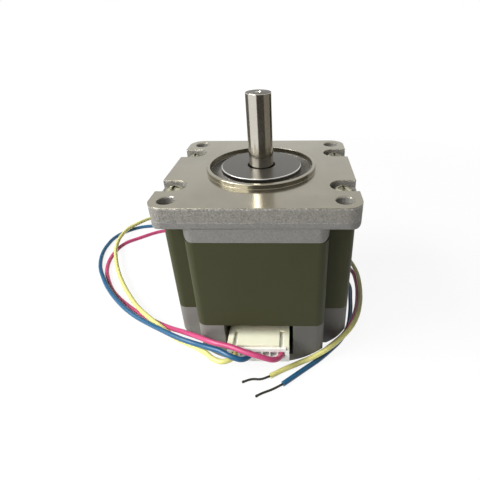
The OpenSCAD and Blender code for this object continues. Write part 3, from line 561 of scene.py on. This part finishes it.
def contact_finish():
    """Tinned contacts."""
    f = Finish("tinned_contact")
    cloud = f.noise(0.7 * MM, 3)
    shade = f.shaded(tone(212, 206, 190), 0.8, 1.05, cloud)
    return f.surface(Base_Color=shade, Metallic=1.0, Roughness=0.22 + cloud * 0.15,
                     Normal=f.bump(cloud, 0.01 * MM, 0.4))


def strand_finish():
    """Fine tinned strands, dulled by handling."""
    f = Finish("tinned_strands")
    cloud = f.noise(0.9 * MM, 4)
    shade = f.shaded(tone(66, 64, 57), 0.35, 1.3, cloud)
    return f.surface(Base_Color=shade, Metallic=0.75, Roughness=0.36 + cloud * 0.2,
                     Normal=f.bump(cloud, 0.03 * MM, 0.5))


# Finishes of the plastics and the board
def moulding_finish(name, shade, gloss):
    """Moulded nylon with a fine texture from the tool and faint flow marks."""
    f = Finish(name)
    skin = f.noise(0.3 * MM, 3)
    flow = f.stretched(4 * MM, (1, 0.4, 1))
    colour_of_part = f.shaded(shade, 0.9, 1.03, flow * 0.7 + skin * 0.3)
    return f.surface(Base_Color=colour_of_part, Roughness=gloss + skin * 0.1, Subsurface_Weight=0.12,
                     Subsurface_Radius=(0.6 * MM, 0.5 * MM, 0.35 * MM),
                     Normal=f.bump(skin + flow * 0.5, 0.012 * MM, 0.5, 0.12 * MM))


def vinyl_finish(name, shade):
    """Soft vinyl that shows the strands under it a little."""
    f = Finish(name)
    dimple = f.noise(1.4 * MM, 3)
    handling = f.noise(7 * MM, 3)
    colour_of_lead = f.shaded(shade, 0.86, 1.1, dimple * 0.4 + handling * 0.6)
    return f.surface(Base_Color=colour_of_lead, Roughness=0.3 + handling * 0.14, Coat_Weight=0.18,
                     Coat_Roughness=0.2, Normal=f.bump(dimple, 0.05 * MM, 0.5))


def board_finish(colours):
    """Green solder mask with round tracks under it."""
    f = Finish("solder_mask")
    tracks = f.rise(f.wave(f.radius(), 2.2 * MM), 0.55, 0.65)
    weave = f.noise(0.5 * MM, 3)
    mask = f.shaded(colours.board, 0.75, 1.1, weave)
    shade = f.blend(tracks * 0.6, mask, scaled(colours.board, 1.7))
    return f.surface(Base_Color=shade, Roughness=0.3 + weave * 0.1, Coat_Weight=0.3,
                     Normal=f.bump(tracks + weave * 0.1, 0.03 * MM, 0.7))


def floor_finish():
    """Pale paper: white to the camera and in reflections, with the soft shadow kept."""
    f = Finish("pale_paper")
    seen, mirrored, through = f.rays()
    fibre = f.noise(4 * MM, 3)
    paper = f.put("ShaderNodeBsdfDiffuse", None, {
        "Color": f.shaded((0.86, 0.86, 0.85), 0.98, 1.02, fibre)})
    glow = f.put("ShaderNodeEmission", None, {"Color": (1, 1, 1), "Strength": PAPER_WHITE})
    away = f.rise(f.radius(), SHADOW_NEAR_R, SHADOW_FAR_R)
    lift = seen * (PAPER_SEEN + away * (1 - PAPER_SEEN)) + mirrored + through
    both = f.put("ShaderNodeMixShader", None, {0: lift, 1: paper, 2: glow})
    f.put("ShaderNodeOutputMaterial", None, {"Surface": both})
    return f.material


def flag_finish(name, shade):
    """A card of warm grey that glows by itself, with a faint mottle."""
    f = Finish(name + "_card")
    mottle = f.noise(30 * MM, 2)
    light = f.put("ShaderNodeEmission", None, {
        "Color": f.shaded((shade * 1.08, shade, shade * 0.84), 0.8, 1.2, mottle), "Strength": 1.0})
    f.put("ShaderNodeOutputMaterial", None, {"Surface": light})
    return f.material


# Helpers for shapes
def keep_shape(name, shape, finish):
    """Turns a finished bmesh into an object at the origin."""
    mesh = bpy.data.meshes.new(name)
    shape.to_mesh(mesh)
    shape.free()
    for layer in ("custom_normal", "sharp_edge"):
        if layer in mesh.attributes:
            mesh.attributes.remove(mesh.attributes[layer])
    mesh.materials.clear()
    mesh.materials.append(finish)
    mesh.shade_smooth()
    mesh.set_sharp_from_angle(angle=SHARP_ANGLE)
    piece = bpy.data.objects.new(name, mesh)
    bpy.context.scene.collection.objects.link(piece)
    return piece


def stand_for(piece, body, slot, *nodes):
    """Makes a piece ride on a body and take the place of its CAD nodes."""
    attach(piece, body)
    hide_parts(*nodes)


def merged_copy(node):
    """A copy of a CAD node's mesh whose loose triangles are joined."""
    shape = bmesh.new()
    shape.from_mesh(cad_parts[node].data)
    bmesh.ops.remove_doubles(shape, verts=shape.verts, dist=ONE_POINT)
    bmesh.ops.dissolve_limit(shape, angle_limit=FLAT_ANGLE, verts=shape.verts, edges=shape.edges,
                             use_dissolve_boundaries=False)
    for edge in shape.edges:
        edge.smooth = True
    return shape


def round_edges(piece, width):
    """Rounds a piece's sharp edges with real faces."""
    rounding = piece.modifiers.new("worn_edges", "BEVEL")
    rounding.width = width
    rounding.segments = 2
    rounding.profile = 0.5
    rounding.affect = "EDGES"
    rounding.limit_method = "ANGLE"
    rounding.angle_limit = BEVEL_ANGLE
    rounding.harden_normals = True
    rounding.miter_outer = "MITER_ARC"


def dress(node, name, slot, finish, edge=0):
    """Takes the place of a CAD node on the housing with its merged copy, edges rounded if asked."""
    piece = keep_shape(name, merged_copy(node), finish)
    if edge:
        round_edges(piece, edge)
    stand_for(piece, "housing", slot, node)


def turned_shape(profile, steps):
    """Spins a line of radius and height pairs round the shaft's axis in a number of steps."""
    shape = bmesh.new()
    points = [shape.verts.new((radius, 0, height)) for radius, height in profile]
    line = [shape.edges.new(pair) for pair in zip(points, points[1:])]
    bmesh.ops.spin(shape, geom=points + line, cent=(0, 0, 0), axis=(0, 0, 1), dvec=(0, 0, 0),
                   angle=2 * math.pi, steps=steps, use_merge=True, use_duplicate=False)
    bmesh.ops.remove_doubles(shape, verts=shape.verts, dist=ONE_POINT)
    bmesh.ops.recalc_face_normals(shape, faces=shape.faces)
    return shape


def repaint(finish, *nodes):
    """Gives CAD nodes that keep their shape a better material."""
    for node in nodes:
        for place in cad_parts[node].material_slots:
            place.material = finish


# Smooth lines through the leads' route points
def route_tangent(points, index):
    """Direction at one point, weighed by the spacing on both sides."""
    if index == 0:
        return (points[1] - points[0]).normalized()
    if index == len(points) - 1:
        return (points[-1] - points[-2]).normalized()
    before = points[index] - points[index - 1]
    after = points[index + 1] - points[index]
    first = before.length
    second = after.length
    return (before / first * second + after / second * first) / (first + second)


def smooth_route(route, step):
    """Points close together on the smooth line through a route, in metres."""
    points = [Vector(point) * MM for point in route]
    line = []
    for index in range(len(points) - 1):
        start = points[index]
        stop = points[index + 1]
        reach = (stop - start).length
        leave = route_tangent(points, index) * reach
        meet = route_tangent(points, index + 1) * reach
        count = max(2, math.ceil(reach / step))
        for part in range(count):
            t = part / count
            line.append(start * (2 * t**3 - 3 * t**2 + 1) + leave * (t**3 - 2 * t**2 + t)
                        + stop * (3 * t**2 - 2 * t**3) + meet * (t**3 - t**2))
    line.append(points[-1])
    return line


def line_length(line):
    """Length of a line of points."""
    return sum((after - before).length for before, after in zip(line, line[1:]))


def round_curve(name, lines, radius, finish, roundness=4):
    """A curve object of round wires, from pairs of a line of points and their thicknesses."""
    data = bpy.data.curves.new(name, "CURVE")
    data.dimensions = "3D"
    data.bevel_depth = radius
    data.bevel_resolution = roundness
    data.use_fill_caps = True
    for points, thickness in lines:
        spline = data.splines.new("POLY")
        spline.points.add(len(points) - 1)
        for place, point, factor in zip(spline.points, points, thickness):
            place.co = (*point, 1)
            place.radius = factor
    data.materials.append(finish)
    piece = bpy.data.objects.new(name, data)
    bpy.context.scene.collection.objects.link(piece)
    return piece


def make_lead(name, route, shade, sizes):
    """One lead's insulation, as a round curve along its route, and that route's smooth line."""
    line = smooth_route(route, LEAD_STEP)
    finish = vinyl_finish(name + "_insulation_vinyl", shade)
    lead = round_curve(name + "_insulation", [(line, [1.0] * len(line))], sizes.lead_width / 2, finish)
    stand_for(lead, "housing", name + "_wire", name + "_lead")
    return lead, line


def make_strands(name, route, finish, sizes):
    """Twisted strands of a bared end, drawn together in a blob at the tip."""
    middle = smooth_route(route, STRAND_STEP)
    whole = line_length(middle)
    wire = sizes.strand_width / 2 * WIRE_SHARE
    ring = sizes.strand_width / 2 - wire
    core = []
    for place in range(len(middle)):
        off_blob = 2 * line_length(middle[place:]) / BLOB_LENGTH - 1
        core.append(1 + BLOB_SWELL * math.sqrt(max(0, 1 - off_blob ** 2)))
    lines = [(middle, core)]
    outer = sizes.wires - 1
    for index in range(outer):
        points = []
        run = 0
        for place, point in enumerate(middle):
            before = middle[max(0, place - 1)]
            after = middle[min(len(middle) - 1, place + 1)]
            run += (point - before).length
            ahead = (after - before).normalized()
            across = ahead.cross(Vector((0, 0, 1))).normalized()
            upward = across.cross(ahead)
            turn = 2 * math.pi * (index / outer + run / sizes.strand_lay)
            close = 1 - MIDDLE_DRAW * math.sin(math.pi * min(1, run / whole)) ** 2
            points.append(point + (across * math.cos(turn) + upward * math.sin(turn)) * ring * close)
        lines.append((points, [1.0] * len(points)))
    strands = round_curve(name + "_bared_end", lines, wire, finish, 2)
    stand_for(strands, "housing", "strand", name + "_strands")
    return strands


# Operators, one for each piece or group of like pieces
class MOTOR_OT_stage(bpy.types.Operator):
    """Set up the camera, the floor and the soft lights"""

    bl_idname = "motor.stage"
    bl_label = "Stage"

    def execute(self, context):
        settings = context.scene.motor_stage
        self.place_camera(context)
        self.place_floor()
        self.place_flags()
        self.place_lamp(context, "key_light", KEY_PLACE, KEY_WIDTH, settings.key)
        self.place_lamp(context, "fill_light", FILL_PLACE, FILL_WIDTH, settings.fill)
        self.light_room(context, settings.room)
        context.scene.view_settings.view_transform = "Standard"
        return {"FINISHED"}

    def place_camera(self, context):
        """The photograph's viewing angle, with its sideways shift."""
        around = math.radians(CAMERA_AROUND)
        above = math.radians(CAMERA_ABOVE)
        roll = math.radians(CAMERA_ROLL)
        back = Vector((math.sin(around) * math.cos(above), -math.cos(around) * math.cos(above),
                       math.sin(above)))
        right = (-back).cross(Vector((0, 0, 1))).normalized()
        upward = right.cross(-back)
        level = right * math.cos(roll) + upward * math.sin(roll)
        top = upward * math.cos(roll) - right * math.sin(roll)
        lens = bpy.data.cameras.new("photo_camera")
        lens.sensor_width = CAMERA_SENSOR
        lens.lens = CAMERA_LENS
        lens.shift_x = CAMERA_SHIFT
        lens.clip_start = 0.005
        lens.clip_end = 50
        camera = bpy.data.objects.new("photo_camera", lens)
        context.scene.collection.objects.link(camera)
        turn = Matrix((level, top, back)).transposed().to_4x4()
        camera.matrix_world = Matrix.Translation(CAMERA_PLACE) @ turn
        context.scene.camera = camera

    def place_floor(self):
        """A wide sheet of pale paper that the motor and the leads lie on."""
        shape = bmesh.new()
        bmesh.ops.create_grid(shape, x_segments=4, y_segments=4, size=FLOOR_REACH)
        floor = keep_shape("paper_floor", shape, floor_finish())

    def place_flags(self):
        """Upright cards round the motor that only its polished metal mirrors."""
        for name, start, stop, top, shade in FLAGS:
            shape = bmesh.new()
            side = math.radians(start)
            foot = shape.verts.new((FLAG_R * math.sin(side), -FLAG_R * math.cos(side), FLAG_LOW_Z))
            head = shape.verts.new((foot.co.x, foot.co.y, top))
            post = shape.edges.new((foot, head))
            bmesh.ops.spin(shape, geom=[foot, head, post], cent=(0, 0, 0), axis=(0, 0, 1),
                           dvec=(0, 0, 0), angle=math.radians(stop - start), steps=FLAG_STEPS,
                           use_merge=False, use_duplicate=False)
            card = keep_shape(name, shape, flag_finish(name, shade))
            card.visible_camera = False
            card.visible_diffuse = False
            card.visible_transmission = False
            card.visible_shadow = False

    def place_lamp(self, context, name, place, width, power):
        """A square soft light turned to the motor."""
        light = bpy.data.lights.new(name, "AREA")
        light.shape = "SQUARE"
        light.size = width
        light.energy = power
        lamp = bpy.data.objects.new(name, light)
        aim = Vector(LIGHT_AIM) - Vector(place)
        lamp.matrix_world = Matrix.Translation(place) @ aim.to_track_quat("-Z", "Y").to_matrix().to_4x4()
        context.scene.collection.objects.link(lamp)

    def light_room(self, context, strength):
        """White to the camera and in reflections, softer as a light on the motor."""
        world = bpy.data.worlds.new("plain_room")
        world.use_nodes = True
        context.scene.world = world
        f = Shader(world.node_tree)
        seen, mirrored, through = f.rays()
        plain = f.put("ShaderNodeMath", {"operation": "MINIMUM"}, {0: seen + mirrored + through, 1: 1.0})
        level = strength + plain * (1 - strength)
        light = f.put("ShaderNodeBackground", None, {"Color": (1, 1, 1), "Strength": level})
        f.put("ShaderNodeOutputWorld", None, {"Surface": light})


class MOTOR_OT_connector(bpy.types.Operator):
    """Dress the header, its pins, the plug and the plug's contacts"""

    bl_idname = "motor.connector"
    bl_label = "Connector"

    def execute(self, context):
        colours = context.scene.motor_colours
        ivory = moulding_finish("ivory_moulding", colours.header, 0.3)
        white = moulding_finish("white_moulding", colours.plug, 0.34)
        dress("header_housing", "header_shell", "header_plastic", ivory, HEADER_EDGE)
        dress("plug_housing", "plug_body", "plug_plastic", white, PLUG_EDGE)
        repaint(contact_finish(), "header_pins", "plug_terminals")
        return {"FINISHED"}


class MOTOR_OT_leads(bpy.types.Operator):
    """Make the three coloured leads and their bared ends"""

    bl_idname = "motor.leads"
    bl_label = "Leads"

    def execute(self, context):
        sizes = context.scene.motor_sizes
        colours = context.scene.motor_colours
        tinned = strand_finish()
        for name, route, end, shade in (
                ("pink", PINK_ROUTE, PINK_END, colours.pink),
                ("blue", BLUE_ROUTE, BLUE_END, colours.blue),
                ("yellow", YELLOW_ROUTE, YELLOW_END, colours.yellow)):
            lead, line = make_lead(name, route, shade, sizes)
            strands = make_strands(name, end, tinned, sizes)
            line_length(line)
        return {"FINISHED"}


class MOTOR_OT_front_bell(bpy.types.Operator):
    """Make the front bell with its flange, pilot and hub"""

    bl_idname = "motor.front_bell"
    bl_label = "Front bell"

    def execute(self, context):
        finish = front_bell_finish(context.scene.motor_sizes, context.scene.motor_colours)
        dress("front_end_bell", "front_bell", "cast_bell", finish, FRONT_BELL_EDGE)
        return {"FINISHED"}


class MOTOR_OT_rear_bell(bpy.types.Operator):
    """Make the rear bell with the connector's notch"""

    bl_idname = "motor.rear_bell"
    bl_label = "Rear bell"

    def execute(self, context):
        finish = rear_bell_finish(context.scene.motor_sizes, context.scene.motor_colours)
        dress("rear_end_bell", "rear_bell", "cast_bell", finish, REAR_BELL_EDGE)
        return {"FINISHED"}


class MOTOR_OT_stator(bpy.types.Operator):
    """Make the painted stator stack with its coils and insulators"""

    bl_idname = "motor.stator"
    bl_label = "Stator"

    def execute(self, context):
        colours = context.scene.motor_colours
        dress("stator_core", "stator_stack", "stator_paint", stator_finish(colours))
        repaint(copper_finish(colours), "phase_u_coils", "phase_v_coils", "phase_w_coils", "coil_leads")
        moulding = moulding_finish("insulator_moulding", tone(226, 222, 206), 0.42)
        repaint(moulding, "front_insulator", "rear_insulator")
        return {"FINISHED"}


class MOTOR_OT_screws(bpy.types.Operator):
    """Make the four assembly screws"""

    bl_idname = "motor.screws"
    bl_label = "Assembly screws"

    def execute(self, context):
        finish = zinc_finish(context.scene.motor_colours)
        dress("assembly_screws", "pan_head_screws", "zinc_screw", finish, SCREW_EDGE)
        return {"FINISHED"}


class MOTOR_OT_shaft(bpy.types.Operator):
    """Turn the shaft with its seats, its relief and its rounded end"""

    bl_idname = "motor.shaft"
    bl_label = "Shaft"

    def execute(self, context):
        edge = context.scene.motor_sizes.shaft_edge
        profile = [
            (0, SHAFT_FOOT_Z), (SHAFT_R, SHAFT_FOOT_Z), (SHAFT_R, REAR_SEAT_Z), (CORE_R, REAR_SEAT_Z),
            (CORE_R, FRONT_SEAT_Z), (SHAFT_R, FRONT_SEAT_Z), (SHAFT_R, RELIEF_Z), (RELIEF_R, RELIEF_Z),
            (RELIEF_R, OUTPUT_Z), (SHAFT_R, OUTPUT_Z)]
        for part in range(END_PARTS + 1):
            turn = math.pi / 2 * part / END_PARTS
            radius = SHAFT_R + edge * (math.cos(turn) - 1)
            profile.append((radius, SHAFT_TOP_Z + edge * (math.sin(turn) - 1)))
        profile += [(DRILL_R, SHAFT_TOP_Z), (0, SHAFT_TOP_Z - 2 * DRILL_R)]
        steel = shaft_finish(context.scene.motor_colours)
        shaft = keep_shape("output_shaft", turned_shape(profile, SHAFT_STEPS), steel)
        stand_for(shaft, "rotor", "shaft_steel", "shaft")
        return {"FINISHED"}


class MOTOR_OT_rotor(bpy.types.Operator):
    """Finish the rotor's cups and magnet"""

    bl_idname = "motor.rotor"
    bl_label = "Rotor"

    def execute(self, context):
        repaint(rotor_finish(), "front_rotor_cup", "rear_rotor_cup")
        repaint(magnet_finish(), "rotor_magnet")
        return {"FINISHED"}


class MOTOR_OT_bearings(bpy.types.Operator):
    """Finish both ball bearings and the wave washer"""

    bl_idname = "motor.bearings"
    bl_label = "Bearings"

    def execute(self, context):
        steel = bearing_finish(context.scene.motor_colours)
        brass = cage_finish()
        for end in ("front", "rear"):
            for part in ("outer_race", "inner_race", "balls", "shields"):
                repaint(steel, end + "_bearing_" + part)
            repaint(brass, end + "_bearing_cage")
        repaint(steel, "wave_washer")
        return {"FINISHED"}


class MOTOR_OT_board(bpy.types.Operator):
    """Finish the terminal board"""

    bl_idname = "motor.board"
    bl_label = "Terminal board"

    def execute(self, context):
        repaint(board_finish(context.scene.motor_colours), "terminal_board")
        return {"FINISHED"}


class MOTOR_PT_panel(bpy.types.Panel):
    """Lists the motor's operators, sizes and colours."""

    bl_idname = "MOTOR_PT_panel"
    bl_label = "Stepping Motor"
    bl_space_type = "VIEW_3D"
    bl_region_type = "UI"
    bl_category = "Motor"

    def draw(self, context):
        for step in STEPS:
            self.layout.operator(step.bl_idname)
        for group in (context.scene.motor_sizes, context.scene.motor_colours, context.scene.motor_stage):
            box = self.layout.box()
            for name in group.bl_rna.properties.keys():
                if name not in ("rna_type", "name"):
                    box.prop(group, name)


STEPS = (MOTOR_OT_stage, MOTOR_OT_connector, MOTOR_OT_leads, MOTOR_OT_front_bell, MOTOR_OT_rear_bell,
         MOTOR_OT_stator, MOTOR_OT_screws, MOTOR_OT_shaft, MOTOR_OT_rotor, MOTOR_OT_bearings,
         MOTOR_OT_board)
CLASSES = (MotorSizes, MotorColours, StageSettings, *STEPS, MOTOR_PT_panel)


def register():
    """Registers the classes and hangs the settings on the scene."""
    for kind in CLASSES:
        bpy.utils.register_class(kind)
    bpy.types.Scene.motor_sizes = PointerProperty(type=MotorSizes)
    bpy.types.Scene.motor_colours = PointerProperty(type=MotorColours)
    bpy.types.Scene.motor_stage = PointerProperty(type=StageSettings)


def unregister():
    """Takes the settings and the classes away again."""
    del bpy.types.Scene.motor_stage
    del bpy.types.Scene.motor_colours
    del bpy.types.Scene.motor_sizes
    for kind in reversed(CLASSES):
        bpy.utils.unregister_class(kind)


def main():
    """Registers the classes and makes every piece in order."""
    register()
    bpy.ops.motor.stage()
    bpy.ops.motor.connector()
    bpy.ops.motor.leads()
    bpy.ops.motor.front_bell()
    bpy.ops.motor.rear_bell()
    bpy.ops.motor.stator()
    bpy.ops.motor.screws()
    bpy.ops.motor.shaft()
    bpy.ops.motor.rotor()
    bpy.ops.motor.bearings()
    bpy.ops.motor.board()


if __name__ == "__main__":
    main()
